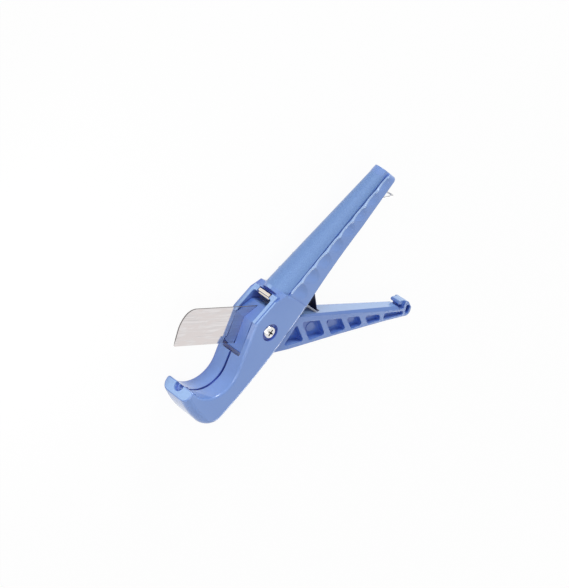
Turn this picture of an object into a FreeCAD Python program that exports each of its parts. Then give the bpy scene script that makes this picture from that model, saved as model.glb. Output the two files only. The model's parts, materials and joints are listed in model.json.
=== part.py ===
# PVC pipe cutter, built lying on its far cheek.
# Tool frame: the pivot axis is Z, X runs to the handle's end, Y to the side that the jaw opens on,
# and z = 0 is the middle of the thickness. Every sub-part is drawn about the pivot axis and then placed,
# so that the row's origin is the centre of the bounding box's bottom face.
import FreeCAD, Part
import math
import os
import Sketcher
from FreeCAD import Placement, Rotation, Vector

os.makedirs("parts", exist_ok=True)
doc = FreeCAD.newDocument("pipe_cutter")

# Driving dimensions in mm and degrees: name, value, meaning
SIZES = [
    ("pivot_x", -30.04, "pivot axis from the origin, along the tool"),
    ("pivot_y", 30.39, "pivot axis from the origin, across the tool"),
    ("pivot_z", 14.5, "middle of the thickness above the far cheek"),
    ("head_width", 29.0, "thickness of the head over both cheeks"),
    ("jaw_radius", 21.0, "seat of the largest pipe, 42 mm across"),
    ("jaw_x", -42.0, "centre of the seat"),
    ("jaw_y", 24.3, "centre of the seat"),
    ("tip_y", 30.7, "flat top of the jaw's tip"),
    ("cavity_front", -25.7, "jaw-side wall of the slot between the cheeks"),
    ("cavity_back", 18.8, "handle-side wall of the slot between the cheeks"),
    ("cavity_width", 19.2, "between the cheeks"),
    ("blade_thick", 1.0, "blade"),
    ("blade_long", 70.2, "pivot axis to the blade's end"),
    ("blade_edge", 13.3, "pivot axis to the cutting edge"),
    ("blade_spine", 14.1, "pivot axis to the back of the blade"),
    ("blade_slot", 2.0, "width of the groove in the jaw"),
    ("blade_deg", 116.5, "blade direction when the tool rests open"),
    ("lever_deg", -60.0, "lever direction when the tool rests open"),
    ("close_deg", 43.0, "turn of the lever from rest to closed"),
    ("lever_width", 18.4, "hub and carrier"),
    ("lever_end_width", 11.8, "lever at the hook"),
    ("lever_long", 142.2, "pivot axis to the lever's end"),
    ("web_width", 6.4, "web between the side pockets"),
    ("sleeve_od", 8.0, "pivot sleeve"),
    ("sleeve_id", 5.1, "pivot sleeve bore"),
    ("lever_bore", 8.1, "hub bore, running on the sleeve"),
    ("screw_shank", 4.98, "M5 screw"),
    ("screw_head", 9.5, "pan head"),
    ("screw_head_high", 2.6, "pan head"),
    ("recess_dia", 13.0, "recess round the screw head"),
    ("recess_floor", 12.4, "recess floor above the mid-plane"),
    ("nut_flats", 8.0, "M5 thin nut across flats"),
    ("nut_high", 2.7, "M5 thin nut"),
    ("nut_seat", -11.1, "floor of the nut's pocket"),
    ("dowel_dia", 3.0, "pins that hold the blade"),
    ("spring_pin_dia", 1.6, "pin through the leaf spring's eye"),
    ("spring_eye_dia", 2.9, "rolled eye of the leaf spring"),
    ("spring_thick", 0.6, "leaf spring"),
    ("spring_wide", 11.6, "leaf spring"),
    ("wire_dia", 1.45, "latch wire"),
    ("latch_x", 116.0, "latch pivot"),
    ("latch_y", -21.0, "latch pivot"),
    ("latch_leg", 20.0, "latch pivot to its crossbar"),
    ("latch_half", 5.5, "half the distance between the legs"),
    ("latch_deg", -54.6, "direction of the legs at rest"),
    ("handle_root_x", 28.8, "step where the handle starts"),
    ("handle_end_x", 138.4, "end of the handle"),
    ("handle_root_half", 13.53, "half width of the handle at the step"),
    ("handle_end_half", 7.98, "half width at the handle's end"),
    ("ridge_root_y", 2.52, "side ridge at the step"),
    ("ridge_end_y", -20.11, "side ridge at the handle's end"),
]
sheet = doc.addObject("Spreadsheet::Sheet", "sizes")
for row, (name, value, meaning) in enumerate(SIZES, start=1):
    sheet.set("A%d" % row, meaning)
    sheet.set("B%d" % row, str(value))
    sheet.setAlias("B%d" % row, name)
doc.recompute()


def size(name):
    """Value of a sheet cell; a leading minus negates it."""
    if name.startswith("-"):
        return -float(sheet.get(name[1:]))
    return float(sheet.get(name))


def formula(name):
    """Expression for a cell name with or without a leading minus."""
    if name.startswith("-"):
        return "-sizes." + name[1:]
    return "sizes." + name


def number(value):
    """A size given as a number or as a cell name."""
    return size(value) if isinstance(value, str) else float(value)


def polar(radius, degrees, centre=(0.0, 0.0)):
    """Point on a circle."""
    angle = math.radians(degrees)
    return (centre[0] + radius * math.cos(angle), centre[1] + radius * math.sin(angle))


def turned(point, degrees):
    """Point turned about the pivot axis."""
    angle = math.radians(degrees)
    cosine, sine = math.cos(angle), math.sin(angle)
    return (point[0] * cosine - point[1] * sine, point[0] * sine + point[1] * cosine)


def new_body(name):
    body = doc.addObject("PartDesign::Body", name)
    body.Label = name
    return body


def sketch_on(body, name, plane, lift=0.0):
    """Empty sketch on one of the body's own origin planes, lifted along its normal."""
    sketch = body.newObject("Sketcher::SketchObject", name)
    origin_plane = [item for item in body.Origin.OriginFeatures if item.Role == plane][0]
    sketch.AttachmentSupport = [(origin_plane, "")]
    sketch.MapMode = "FlatFace"
    sketch.AttachmentOffset = Placement(Vector(0, 0, lift), Rotation())
    return sketch


def fix(sketch, kind, geometry, vertex, value):
    """Holds one coordinate of a point, bound to the sheet where a cell names it."""
    index = sketch.addConstraint(Sketcher.Constraint(kind, -1, 1, geometry, vertex, number(value)))
    if isinstance(value, str):
        sketch.setExpression("Constraints[%d]" % index, formula(value))


def add_outline(sketch, steps, closed=True):
    """Lines and arcs through the steps. A step is (x, y), reached by a straight line, or (x, y, radius),
    reached by an arc that turns left for a positive radius and right for a negative one."""
    count = len(steps)
    spans = range(count) if closed else range(count - 1)
    ends = []
    for i in spans:
        start = steps[i]
        stop = steps[(i + 1) % count]
        p = Vector(number(start[0]), number(start[1]), 0)
        q = Vector(number(stop[0]), number(stop[1]), 0)
        if len(stop) == 2:
            index = sketch.addGeometry(Part.LineSegment(p, q), False)
            ends.append((index, 1, 2))
            continue
        radius = number(stop[2])
        chord = q - p
        half = chord.Length / 2
        left = Vector(-chord.y, chord.x, 0).normalize()
        rise = math.sqrt(max(radius * radius - half * half, 0.0))
        centre = (p + q) * 0.5 + left * (rise if radius > 0 else -rise)
        begin, finish = (p, q) if radius > 0 else (q, p)
        angle_a = math.atan2(begin.y - centre.y, begin.x - centre.x)
        angle_b = math.atan2(finish.y - centre.y, finish.x - centre.x)
        if angle_b < angle_a:
            angle_b += 2 * math.pi
        circle = Part.Circle(centre, Vector(0, 0, 1), abs(radius))
        index = sketch.addGeometry(Part.ArcOfCircle(circle, angle_a, angle_b), False)
        held = sketch.addConstraint(Sketcher.Constraint("Radius", index, abs(radius)))
        if isinstance(stop[2], str) and radius > 0:
            sketch.setExpression("Constraints[%d]" % held, formula(stop[2]))
        ends.append((index, 1, 2) if radius > 0 else (index, 2, 1))
    for i in spans:
        index, start_vertex, end_vertex = ends[i]
        fix(sketch, "DistanceX", index, start_vertex, steps[i][0])
        fix(sketch, "DistanceY", index, start_vertex, steps[i][1])
        if closed or i < count - 2:
            follower, follower_start, _ = ends[(i + 1) % len(ends)]
            joined = Sketcher.Constraint("Coincident", index, end_vertex, follower, follower_start)
            sketch.addConstraint(joined)
    if not closed:
        index, _, end_vertex = ends[-1]
        fix(sketch, "DistanceX", index, end_vertex, steps[-1][0])
        fix(sketch, "DistanceY", index, end_vertex, steps[-1][1])


def add_circle(sketch, x, y, diameter):
    circle = Part.Circle(Vector(number(x), number(y), 0), Vector(0, 0, 1), number(diameter) / 2)
    index = sketch.addGeometry(circle, False)
    fix(sketch, "DistanceX", index, 3, x)
    fix(sketch, "DistanceY", index, 3, y)
    held = sketch.addConstraint(Sketcher.Constraint("Diameter", index, number(diameter)))
    if isinstance(diameter, str):
        sketch.setExpression("Constraints[%d]" % held, formula(diameter))


def rounded(corners, radius):
    """Steps of a counter-clockwise polygon with every corner rounded, some by a radius of their own."""
    steps = []
    count = len(corners)
    for i in range(count):
        before = Vector(*corners[i - 1][:2], 0)
        here = Vector(*corners[i][:2], 0)
        after = Vector(*corners[(i + 1) % count][:2], 0)
        r = corners[i][2] if len(corners[i]) > 2 else radius
        into = (before - here).normalize()
        out = (after - here).normalize()
        half_angle = into.getAngle(out) / 2
        setback = r / math.tan(half_angle)
        left_turn = (here - before).cross(after - here).z > 0
        enter = here + into * setback
        leave = here + out * setback
        steps.append((enter.x, enter.y))
        steps.append((leave.x, leave.y, r if left_turn else -r))
    return steps


def ribbon(corners, thickness):
    """Steps round a bent strip: corners (x, y, radius) of its middle line, the two ends without a radius."""
    left, right = [], []
    half = thickness / 2
    for i, corner in enumerate(corners):
        here = Vector(corner[0], corner[1], 0)
        into = (here - Vector(*corners[i - 1][:2], 0)).normalize() if i else None
        out = (Vector(*corners[i + 1][:2], 0) - here).normalize() if i < len(corners) - 1 else None
        if into is None or out is None:
            way = out if into is None else into
            side = Vector(-way.y, way.x, 0) * half
            left.append((here + side, None))
            right.append((here - side, None))
            continue
        turn = into.getAngle(out)
        setback = corner[2] * math.tan(turn / 2)
        sign = 1 if into.cross(out).z > 0 else -1
        enter, leave = here - into * setback, here + out * setback
        side_in = Vector(-into.y, into.x, 0) * half
        side_out = Vector(-out.y, out.x, 0) * half
        left.append((enter + side_in, None))
        left.append((leave + side_out, sign * (corner[2] - sign * half)))
        right.append((enter - side_in, None))
        right.append((leave - side_out, sign * (corner[2] + sign * half)))
    steps = [(point.x, point.y) if radius is None else (point.x, point.y, radius) for point, radius in left]
    backward = right[::-1]
    for i, (point, radius) in enumerate(backward):
        carried = backward[i - 1][1] if i else None
        steps.append((point.x, point.y) if carried is None else (point.x, point.y, -carried))
    return steps


def pad(body, name, sketch, length, middle=True):
    feature = body.newObject("PartDesign::Pad", name)
    feature.Profile = sketch
    feature.Midplane = middle
    if isinstance(length, str):
        feature.Length = size(length)
        feature.setExpression("Length", formula(length))
    else:
        feature.Length = length
    sketch.Visibility = False
    doc.recompute()
    return feature


def pocket(body, name, sketch, length=None, middle=True, flip=False):
    """Cut through everything, or to a length; the volume must fall."""
    before = body.Shape.Volume
    feature = body.newObject("PartDesign::Pocket", name)
    feature.Profile = sketch
    feature.Midplane = middle
    feature.Reversed = flip
    if length is None:
        feature.Type = "ThroughAll"
    elif isinstance(length, str):
        feature.Length = size(length)
        feature.setExpression("Length", formula(length))
    else:
        feature.Length = length
    sketch.Visibility = False
    doc.recompute()
    if body.Shape.Volume > before - 1e-3:
        raise RuntimeError("%s cuts nothing" % name)
    return feature


def loft(body, kind, name, sections):
    feature = body.newObject("PartDesign::" + kind, name)
    feature.Profile = sections[0]
    feature.Sections = sections[1:]
    feature.Ruled = True
    for section in sections:
        section.Visibility = False
    doc.recompute()
    return feature


def place(item, x="pivot_x", y="pivot_y", z="pivot_z", degrees=None):
    """Binds a sub-part's Placement to the sheet; degrees turns it about its own Z."""
    for axis, cell in (("x", x), ("y", y), ("z", z)):
        item.setExpression("Placement.Base." + axis, cell if "+" in cell else formula(cell))
    if degrees is not None:
        item.setExpression("Placement.Rotation.Axis.z", "1")
        item.setExpression("Placement.Rotation.Axis.x", "0")
        item.setExpression("Placement.Rotation.Axis.y", "0")
        item.setExpression("Placement.Rotation.Angle", formula(degrees))


half_head = size("head_width") / 2
half_cavity = size("cavity_width") / 2

# ---------------------------------------------------------------- head of the jaw and handle moulding
jaw_centre = (size("jaw_x"), size("jaw_y"))
jaw_radius = size("jaw_radius")
tip_y = size("tip_y")
tip_inner = (jaw_centre[0] - math.sqrt(jaw_radius ** 2 - (tip_y - jaw_centre[1]) ** 2), tip_y)
jaw_bottom = polar(jaw_radius, 250.0, jaw_centre)
front_low = polar(jaw_radius, 288.6, jaw_centre)
front_high = (-0.8, 15.6)
rim_back = (19.3, 11.8)
shoulder = (27.6, 7.0)
heel = (28.8, -17.2)
wall_top = (-71.4, tip_y)
wall_low = (-78.0, 9.0)
corner_low = (-68.4, -6.9)
belly = (-20.0, -14.8)

head = new_body("head_block")
outline = sketch_on(head, "head_outline", "XY_Plane")
add_outline(outline, [
    tip_inner,
    (jaw_bottom[0], jaw_bottom[1], "jaw_radius"),
    (front_low[0], front_low[1], "jaw_radius"),
    front_high,
    rim_back,
    shoulder,
    (heel[0], 1.6),
    heel,
    (belly[0], belly[1], -420.0),
    (corner_low[0], corner_low[1], -420.0),
    (wall_low[0], wall_low[1], -13.5),
    (wall_top[0], wall_top[1], -70.0),
])
pad(head, "head_pad", outline, "head_width")

# Edge rounding differs along the head: wide on the outer wall, narrow on the cheeks
ROUNDING = [
    (tip_inner, 1.8),
    (jaw_bottom, 1.8),
    (front_low, 1.8),
    (front_high, 1.8),
    (wall_top, 6.0),
    (wall_low, 6.0),
    (corner_low, 2.2),
    (belly, 2.2),
    (heel, 2.2),
]
softened = doc.addObject("Part::Fillet", "head_softened")
softened.Base = head
edge_radii = []
for index, edge in enumerate(head.Shape.Edges, start=1):
    middle = edge.CenterOfMass
    on_tip = middle.y > tip_y - 0.01
    on_deck = middle.x > front_high[0] and middle.y > 0
    if edge.BoundBox.ZLength > 1e-6 or on_tip or on_deck:
        continue
    radii = []
    for vertex in (edge.firstVertex(), edge.lastVertex()):
        for (x, y), radius in ROUNDING:
            if math.hypot(vertex.X - x, vertex.Y - y) < 0.05:
                radii.append(radius)
    if len(radii) == 2:
        edge_radii.append((index, radii[0], radii[1]))
softened.Edges = edge_radii
doc.recompute()

# Flat top of the tip: a small rounding all round
TIP_ROUNDING = 1.1
tip_softened = doc.addObject("Part::Fillet", "tip_softened")
tip_softened.Base = softened
tip_edges = []
for index, edge in enumerate(softened.Shape.Edges, start=1):
    if all(abs(vertex.Y - tip_y) < 1e-4 for vertex in edge.Vertexes) and edge.BoundBox.YLength < 1e-4:
        tip_edges.append((index, TIP_ROUNDING, TIP_ROUNDING))
tip_softened.Edges = tip_edges
doc.recompute()

# ---------------------------------------------------------------- jaw and handle moulding
moulding = new_body("moulding")
moulding.BaseFeature = tip_softened
doc.recompute()

rim = sketch_on(moulding, "rim_outline", "XY_Plane")
add_outline(rim, [
    (-1.4, 14.0),
    (24.0, 8.0),
    (22.9, 11.6),
    (rim_back[0], rim_back[1] + 0.6),
    (front_high[0], front_high[1] + 0.6),
])
pad(moulding, "rim_strip", rim, 25.2)

root_x = size("handle_root_x")
end_x = size("handle_end_x")


def along(root_value, end_value, x):
    """Value on the straight taper between the handle's root and its end."""
    return root_value + (end_value - root_value) * (x - root_x) / (end_x - root_x)


def half_width(x):
    return along(size("handle_root_half"), size("handle_end_half"), x)


def ridge_y(x):
    return along(size("ridge_root_y"), size("ridge_end_y"), x)


def ridge_sketch(body, name, height):
    """Sketch on a plane parallel to the handle's back; x runs down the back from the root, y is Z."""
    tilt = math.degrees(math.atan2(ridge_y(end_x) - ridge_y(root_x), end_x - root_x))
    sketch = sketch_on(body, name, "XZ_Plane")
    plane = Placement(Vector(root_x, 0, -ridge_y(root_x)), Rotation(Vector(0, 1, 0), tilt))
    sketch.AttachmentOffset = plane * Placement(Vector(0, 0, -height), Rotation())
    return sketch


def taper_outline(start, stop, inset, radius):
    """Plan of a field on the handle's back, from start to stop along it, with rounded corners at the end."""
    first, last = half_width(root_x + start) - inset, half_width(root_x + stop) - inset
    return [
        (start, -first),
        (stop - radius, -last),
        (stop, radius - last, radius),
        (stop, last - radius),
        (stop - radius, last, radius),
        (start, first),
    ]


# Handle: tapering block, its back and underside cut to shape, corners and ridges rounded
plan = sketch_on(moulding, "handle_plan", "XZ_Plane", 16.0)
end_half = size("handle_end_half")
add_outline(plan, [
    (root_x - 0.8, -half_width(root_x - 0.8)),
    (end_x - 3.6, -half_width(end_x - 3.6)),
    (end_x, 3.4 - end_half, 3.8),
    (end_x, end_half - 3.4),
    (end_x - 3.6, half_width(end_x - 3.6), 3.8),
    (root_x - 0.8, half_width(root_x - 0.8)),
])
pad(moulding, "handle_block", plan, 37.0)
back = sketch_on(moulding, "back", "XY_Plane")
add_outline(back, [
    ("handle_root_x", "ridge_root_y"),
    (end_x + 3.0, ridge_y(end_x + 3.0)),
    (end_x + 3.0, 12.0),
    ("handle_root_x", 12.0),
])
pocket(moulding, "back_cut", back)
UNDER_END = (end_x + 1.0, -27.4)
UNDER_MID = (96.0, -23.1)
under = sketch_on(moulding, "underside", "XY_Plane")
add_outline(under, [
    (root_x - 1.0, -40.0),
    (end_x + 1.0, -40.0),
    UNDER_END,
    UNDER_MID,
    (heel[0], heel[1], 520.0),
    (root_x - 1.0, heel[1]),
])
under_cut = pocket(moulding, "underside_cut", under)
ridges = []
for index, edge in enumerate(moulding.Shape.Edges, start=1):
    spots = [vertex.Point for vertex in edge.Vertexes]
    on_back = all(abs(spot.y - ridge_y(spot.x)) < 1e-4 and spot.x > root_x - 0.01 for spot in spots)
    if on_back and max(spot.x for spot in spots) > root_x + 1.0:
        ridges.append("Edge%d" % index)
rounding = moulding.newObject("PartDesign::Fillet", "ridges_rounded")
rounding.Base = (under_cut, ridges)
rounding.Radius = 0.8
doc.recompute()

# Bead along each ridge of the back, set off by a narrow groove
BEAD = 1.6
GROOVE = 0.5
bead_groove = ridge_sketch(moulding, "bead_groove", 4.0)
add_outline(bead_groove, taper_outline(0.2, 108.0, BEAD, 2.0))
pocket(moulding, "bead_groove_cut", bead_groove, 4.6, middle=False, flip=True)

# Slot between the cheeks, open above and below
window = sketch_on(moulding, "window", "XZ_Plane")
add_outline(window, rounded([
    (size("cavity_front"), -half_cavity),
    (size("cavity_back"), -half_cavity),
    (size("cavity_back"), half_cavity),
    (size("cavity_front"), half_cavity),
], 1.4))
pocket(moulding, "cheek_slot", window)

# Channel in the handle that takes the lever, with a higher ceiling next to the hub
channel = ridge_sketch(moulding, "channel", -3.0)
add_outline(channel, [(0.0, -9.6), (107.4, -6.55), (107.4, 6.55), (0.0, 9.6)])
pocket(moulding, "channel_cut", channel, 40.0, middle=False, flip=True)
root_channel = sketch_on(moulding, "root_channel", "XY_Plane")
add_outline(root_channel, [(18.0, -30.0), (31.2, -30.0), (31.2, -0.9), (18.0, 3.0)])
pocket(moulding, "root_channel_cut", root_channel, 19.2)
ceiling_window = ridge_sketch(moulding, "ceiling_window", 3.4)
add_outline(ceiling_window, [(7.0, -6.0), (101.0, -2.6), (101.0, 2.6), (7.0, 6.0)])
pocket(moulding, "ceiling_window_cut", ceiling_window, 9.0, middle=False, flip=True)

# Groove that the blade closes into
edge_far = size("blade_edge") + 1.1
groove_radius = size("blade_long") + 1.9
closed_deg = size("blade_deg") + size("close_deg")
reach = math.sqrt(groove_radius ** 2 - edge_far ** 2)
groove_low = turned((20.0, edge_far), closed_deg)
groove_far = turned((reach, edge_far), closed_deg)
groove_high = polar(groove_radius, 153.4)
groove = sketch_on(moulding, "groove", "XY_Plane")
add_outline(groove, [
    groove_low,
    (groove_low[0], groove_high[1]),
    groove_high,
    (groove_far[0], groove_far[1], groove_radius),
])
pocket(moulding, "blade_groove", groove, "blade_slot")

# Stepped hole in the jaw's tip
bore = sketch_on(moulding, "tip_bore", "XZ_Plane", -tip_y - 1.0)
add_circle(bore, -63.9, -0.4, 8.2)
pocket(moulding, "tip_bore_cut", bore, 4.4, middle=False, flip=True)
small_bore = sketch_on(moulding, "tip_small_bore", "XZ_Plane", -tip_y - 1.0)
add_circle(small_bore, -63.9, -0.4, 5.4)
pocket(moulding, "tip_small_bore_cut", small_bore, 12.0, middle=False, flip=True)

# Pivot: screw hole, recess for the head, pocket for the nut
hole = sketch_on(moulding, "pivot_hole", "XY_Plane")
add_circle(hole, 0.0, 0.0, 5.3)
pocket(moulding, "pivot_hole_cut", hole)
recess = sketch_on(moulding, "recess", "XY_Plane", size("recess_floor"))
add_circle(recess, 0.0, 0.0, "recess_dia")
pocket(moulding, "recess_cut", recess, 6.0, middle=False, flip=True)
nut_corner = (size("nut_flats") + 0.2) / math.sqrt(3)
nut_pocket = sketch_on(moulding, "nut_pocket", "XY_Plane", size("nut_seat"))
add_outline(nut_pocket, [polar(nut_corner, 60.0 * i) for i in range(6)])
pocket(moulding, "nut_pocket_cut", nut_pocket, 6.0, middle=False)

# Seat of the spring's eye, behind the window
EYE = (20.8, 11.0)
seat = sketch_on(moulding, "spring_seat", "XY_Plane")
add_outline(seat, [(17.0, 9.2), (21.6, 9.2), (22.9, 10.5, 1.3), (22.9, 16.0), (17.0, 16.0)])
pocket(moulding, "spring_seat_cut", seat, 13.4)
pin_hole = sketch_on(moulding, "spring_pin_hole", "XY_Plane")
add_circle(pin_hole, EYE[0], EYE[1], size("spring_pin_dia") + 0.04)
pocket(moulding, "spring_pin_hole_cut", pin_hole, 20.0)

# Blind holes for the latch wire
latch_hole = sketch_on(moulding, "latch_hole", "XY_Plane")
add_circle(latch_hole, "latch_x", "latch_y", 1.6)
pocket(moulding, "latch_hole_cut", latch_hole, 15.5)

# Finger dishes along both sides of the handle: hollows deepest at the ridge that run out down the side,
# each cut by a cylinder that leans outwards towards its lower end
DISHES = 8
DISH_DEPTH = 1.1
DISH_RADIUS = 15.0
side_slope = (half_width(end_x) - half_width(root_x)) / (end_x - root_x)
dishes = []
for i in range(DISHES):
    x = 34.5 + 13.6 * i
    underside_y = heel[1] + (UNDER_END[1] - heel[1]) * (x - heel[0]) / (UNDER_END[0] - heel[0])
    run_out = 0.40 * (ridge_y(x) - underside_y) + 2.6
    for side in (1, -1):
        outward = Vector(-side_slope, 0, side).normalize()
        axis = (Vector(0, 1, 0) * run_out - outward * DISH_DEPTH).normalize()
        away = (outward * run_out + Vector(0, 1, 0) * DISH_DEPTH).normalize()
        low_end = Vector(x, ridge_y(x) - run_out, side * half_width(x)) + away * DISH_RADIUS - axis * 4.0
        roller = doc.addObject("Part::Cylinder", "dish_%d_%s" % (i + 1, "near" if side > 0 else "far"))
        roller.Radius = DISH_RADIUS
        roller.Height = run_out + 8.0
        roller.Placement = Placement(low_end, Rotation(Vector(0, 0, 1), axis))
        dishes.append(roller)

dish_set = doc.addObject("Part::MultiFuse", "dishes")
dish_set.Shapes = dishes
dished = doc.addObject("Part::Cut", "dished_moulding")
dished.Base = moulding
dished.Tool = dish_set

# Rounded back of the handle: a tapering block trimmed by a slender cone, with a raised rim at the end.
# It stands between the two beads and runs forward into the head's deck.
grip = new_body("grip_back")
BACK_START = 23.3
cos_tilt = math.cos(math.atan2(ridge_y(end_x) - ridge_y(root_x), end_x - root_x))
block = ridge_sketch(grip, "back_block", 14.0)
block_start = (BACK_START - root_x) / cos_tilt
block_stop = (end_x - 0.3 - root_x) / cos_tilt
add_outline(block, taper_outline(block_start, block_stop, BEAD + GROOVE, 1.2))
pad(grip, "back_block_pad", block, 15.5, middle=False)

CROWN_ROOT = ridge_y(root_x) + 9.0
CROWN_END = ridge_y(end_x) + 6.9
AXIS_ROOT = CROWN_ROOT - 12.1
AXIS_END = CROWN_END - 6.2
RIM_RISE = 0.35


def crown_y(x):
    return along(CROWN_ROOT, CROWN_END, x)


crown_line = sketch_on(grip, "crown_line", "XY_Plane")
add_outline(crown_line, [
    (20.0, CROWN_ROOT + 0.5),
    (root_x, CROWN_ROOT),
    (132.4, crown_y(132.4)),
    (134.6, crown_y(134.6) + RIM_RISE),
    (142.0, crown_y(142.0) + RIM_RISE + 0.1),
    (142.0, crown_y(142.0) + 14.0),
    (20.0, CROWN_ROOT + 14.0),
])
cone_axis = Part.LineSegment(Vector(root_x, AXIS_ROOT, 0), Vector(end_x, AXIS_END, 0))
crown_axis = crown_line.addGeometry(cone_axis, True)
for vertex, x, y in ((1, root_x, AXIS_ROOT), (2, end_x, AXIS_END)):
    fix(crown_line, "DistanceX", crown_axis, vertex, x)
    fix(crown_line, "DistanceY", crown_axis, vertex, y)
crowning = grip.newObject("PartDesign::Groove", "crown")
crowning.Profile = crown_line
crowning.ReferenceAxis = (crown_line, ["Axis0"])
crowning.Angle = 360
crown_line.Visibility = False
doc.recompute()

# Its end stands flush with the handle's end
back_end = sketch_on(grip, "back_end", "XY_Plane")
add_outline(back_end, [(end_x - 0.2, -30.0), (end_x + 8.0, -30.0), (end_x + 8.0, 0.0), (end_x - 0.2, 0.0)])
pocket(grip, "back_end_cut", back_end)

# Relief inside the rounded back, open to the channel below
relief = ridge_sketch(grip, "relief", 3.4)
add_outline(relief, [(7.0, -6.0), (101.0, -2.6), (101.0, 2.6), (7.0, 6.0)])
pocket(grip, "relief_cut", relief, 9.0, middle=False, flip=True)

handle_part = doc.addObject("Part::MultiFuse", "jaw_handle")
handle_part.Label = "jaw_handle"
handle_part.Shapes = [dished, grip]
handle_part.Refine = True
place(handle_part)
doc.recompute()

# ---------------------------------------------------------------- lever, along its own X
lever_long = size("lever_long")
lever_root_half = size("lever_width") / 2
lever_end_half = size("lever_end_width") / 2
lever = new_body("lever")
lever_outline = sketch_on(lever, "lever_outline", "XY_Plane")
add_outline(lever_outline, [
    (-18.2, -15.4),
    (-16.6, -17.0, 2.2),
    (13.6, -19.2),
    (26.0, -18.2),
    (70.5, -12.8),
    (117.2, -7.9),
    (138.0, -6.3),
    (140.9, -5.1, 4.0),
    (lever_long, -2.4, 5.0),
    (lever_long, 0.4),
    (139.2, 4.1),
    (137.0, 5.7, 4.0),
    (135.4, 5.7),
    (134.7, 3.4),
    (134.3, -0.1),
    (130.9, -0.1),
    (129.5, 1.7),
    (32.0, 6.9),
    (14.3, 7.4),
    (-2.2, 16.0, 16.15),
    (-14.3, 7.3),
])
pad(lever, "lever_pad", lever_outline, "lever_width")

# Hook that the wire latch drops over
nose = sketch_on(lever, "hook_nose", "XY_Plane")
add_outline(nose, [
    (134.9, -0.6),
    (136.6, -0.6),
    (137.3, 4.9),
    (133.6, 5.9, 6.5),
    (131.0, 5.6),
    (129.6, 3.6, 1.5),
    (130.6, 2.9, 1.0),
    (133.0, 2.8),
    (134.0, 1.8, -1.0),
    (134.3, -0.6),
])
pad(lever, "hook_pad", nose, 8.8)

# Sides taper from the hub to the hook
taper = sketch_on(lever, "taper", "XZ_Plane")
for side in (1, -1):
    add_outline(taper, [
        (24.0, side * lever_root_half),
        (137.0, side * lever_end_half),
        (lever_long + 1.0, side * lever_end_half),
        (lever_long + 1.0, side * (lever_root_half + 2.0)),
        (24.0, side * (lever_root_half + 2.0)),
    ])
pocket(lever, "taper_cut", taper)


def lever_half(x):
    """Half width of the tapering lever."""
    return lever_root_half + (lever_end_half - lever_root_half) * (x - 24.0) / 113.0


def crown_section(x):
    """Sloping shoulder between the crown and the side, steeper towards the hook."""
    half = lever_half(x)
    section = sketch_on(lever, "crown_at_%d" % x, "YZ_Plane", x)
    crown = 6.9 - 0.0533 * (x - 32.0)
    side = 5.9 - 0.0655 * (x - 32.0)
    add_outline(section, [
        (crown, half - 2.0),
        (side, half),
        (side, half + 1.0),
        (crown + 2.0, half + 1.0),
        (crown + 2.0, half - 2.0),
    ])
    return section


shoulder_near = loft(lever, "SubtractiveLoft", "shoulder_near", [crown_section(24.0), crown_section(130.6)])
shoulder_far = lever.newObject("PartDesign::Mirrored", "shoulder_far")
shoulder_far.Originals = [shoulder_near]
middle_planes = [item for item in lever.Origin.OriginFeatures if item.Role == "XY_Plane"]
shoulder_far.MirrorPlane = (middle_planes[0], [""])
lever.Tip = shoulder_far
doc.recompute()

# Six pockets on each side, between slanting ribs
POCKETS = [
    [(19.7, -15.5), (38.9, -13.6), (28.6, 0.3, 1.3)],
    [(32.5, 2.0), (44.2, -13.8), (58.7, -11.1), (50.2, 1.0)],
    [(55.9, 0.6), (64.8, -11.9), (78.5, -9.4), (71.4, -0.1)],
    [(76.5, -0.2), (84.0, -9.8), (94.5, -7.8), (89.4, -0.7)],
    [(94.8, -1.0), (100.4, -8.2), (112.8, -6.4), (109.9, -1.7)],
    [(115.4, -1.4, 1.4), (115.7, -6.5, 1.4), (134.6, -4.9, 0.9), (135.2, -2.1, 0.9)],
]
web = size("web_width") / 2
windows = sketch_on(lever, "side_pockets", "XY_Plane", web)
for corners in POCKETS:
    add_outline(windows, rounded(corners, 1.5))
near_pockets = pocket(lever, "side_pockets_near", windows, 12.0, middle=False, flip=True)
mirrored = lever.newObject("PartDesign::Mirrored", "side_pockets_far")
mirrored.Originals = [near_pockets]
mirrored.MirrorPlane = (middle_planes[0], [""])
lever.Tip = mirrored
doc.recompute()

# Lanyard slot, slightly slanted
lanyard = sketch_on(lever, "lanyard_slot", "XY_Plane")
add_outline(lanyard, [
    (136.9, -2.6),
    (140.3, -3.0, 1.75),
    (140.7, 0.2),
    (139.6, 2.2, 1.6),
    (137.1, 1.9, 1.7),
])
pocket(lever, "lanyard_cut", lanyard)

# Hub bore, blade slot and holes for the blade's pins
blade_turn = size("blade_deg") - size("lever_deg")
hub_bore = sketch_on(lever, "hub_bore", "XY_Plane")
add_circle(hub_bore, 0.0, 0.0, "lever_bore")
pocket(lever, "hub_bore_cut", hub_bore)
edge_y = size("blade_edge")
spine_y = size("blade_spine")
slot = sketch_on(lever, "blade_slot_outline", "XY_Plane")
add_outline(slot, [turned(point, blade_turn) for point in (
    (30.0, edge_y + 0.3),
    (-4.1, edge_y + 0.3),
    (-9.3, 8.1),
    (-9.3, -9.1),
    (-4.1, -spine_y - 0.2),
    (30.0, -spine_y - 0.2),
)])
pocket(lever, "blade_slot_cut", slot, size("blade_thick") + 0.1)
DOWELS = [(9.5, 8.0), (9.5, -8.5)]
dowel_holes = sketch_on(lever, "dowel_holes", "XY_Plane")
for spot in DOWELS:
    x, y = turned(spot, blade_turn)
    add_circle(dowel_holes, x, y, 3.04)
pocket(lever, "dowel_holes_cut", dowel_holes)
place(lever, degrees="lever_deg")
doc.recompute()

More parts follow.
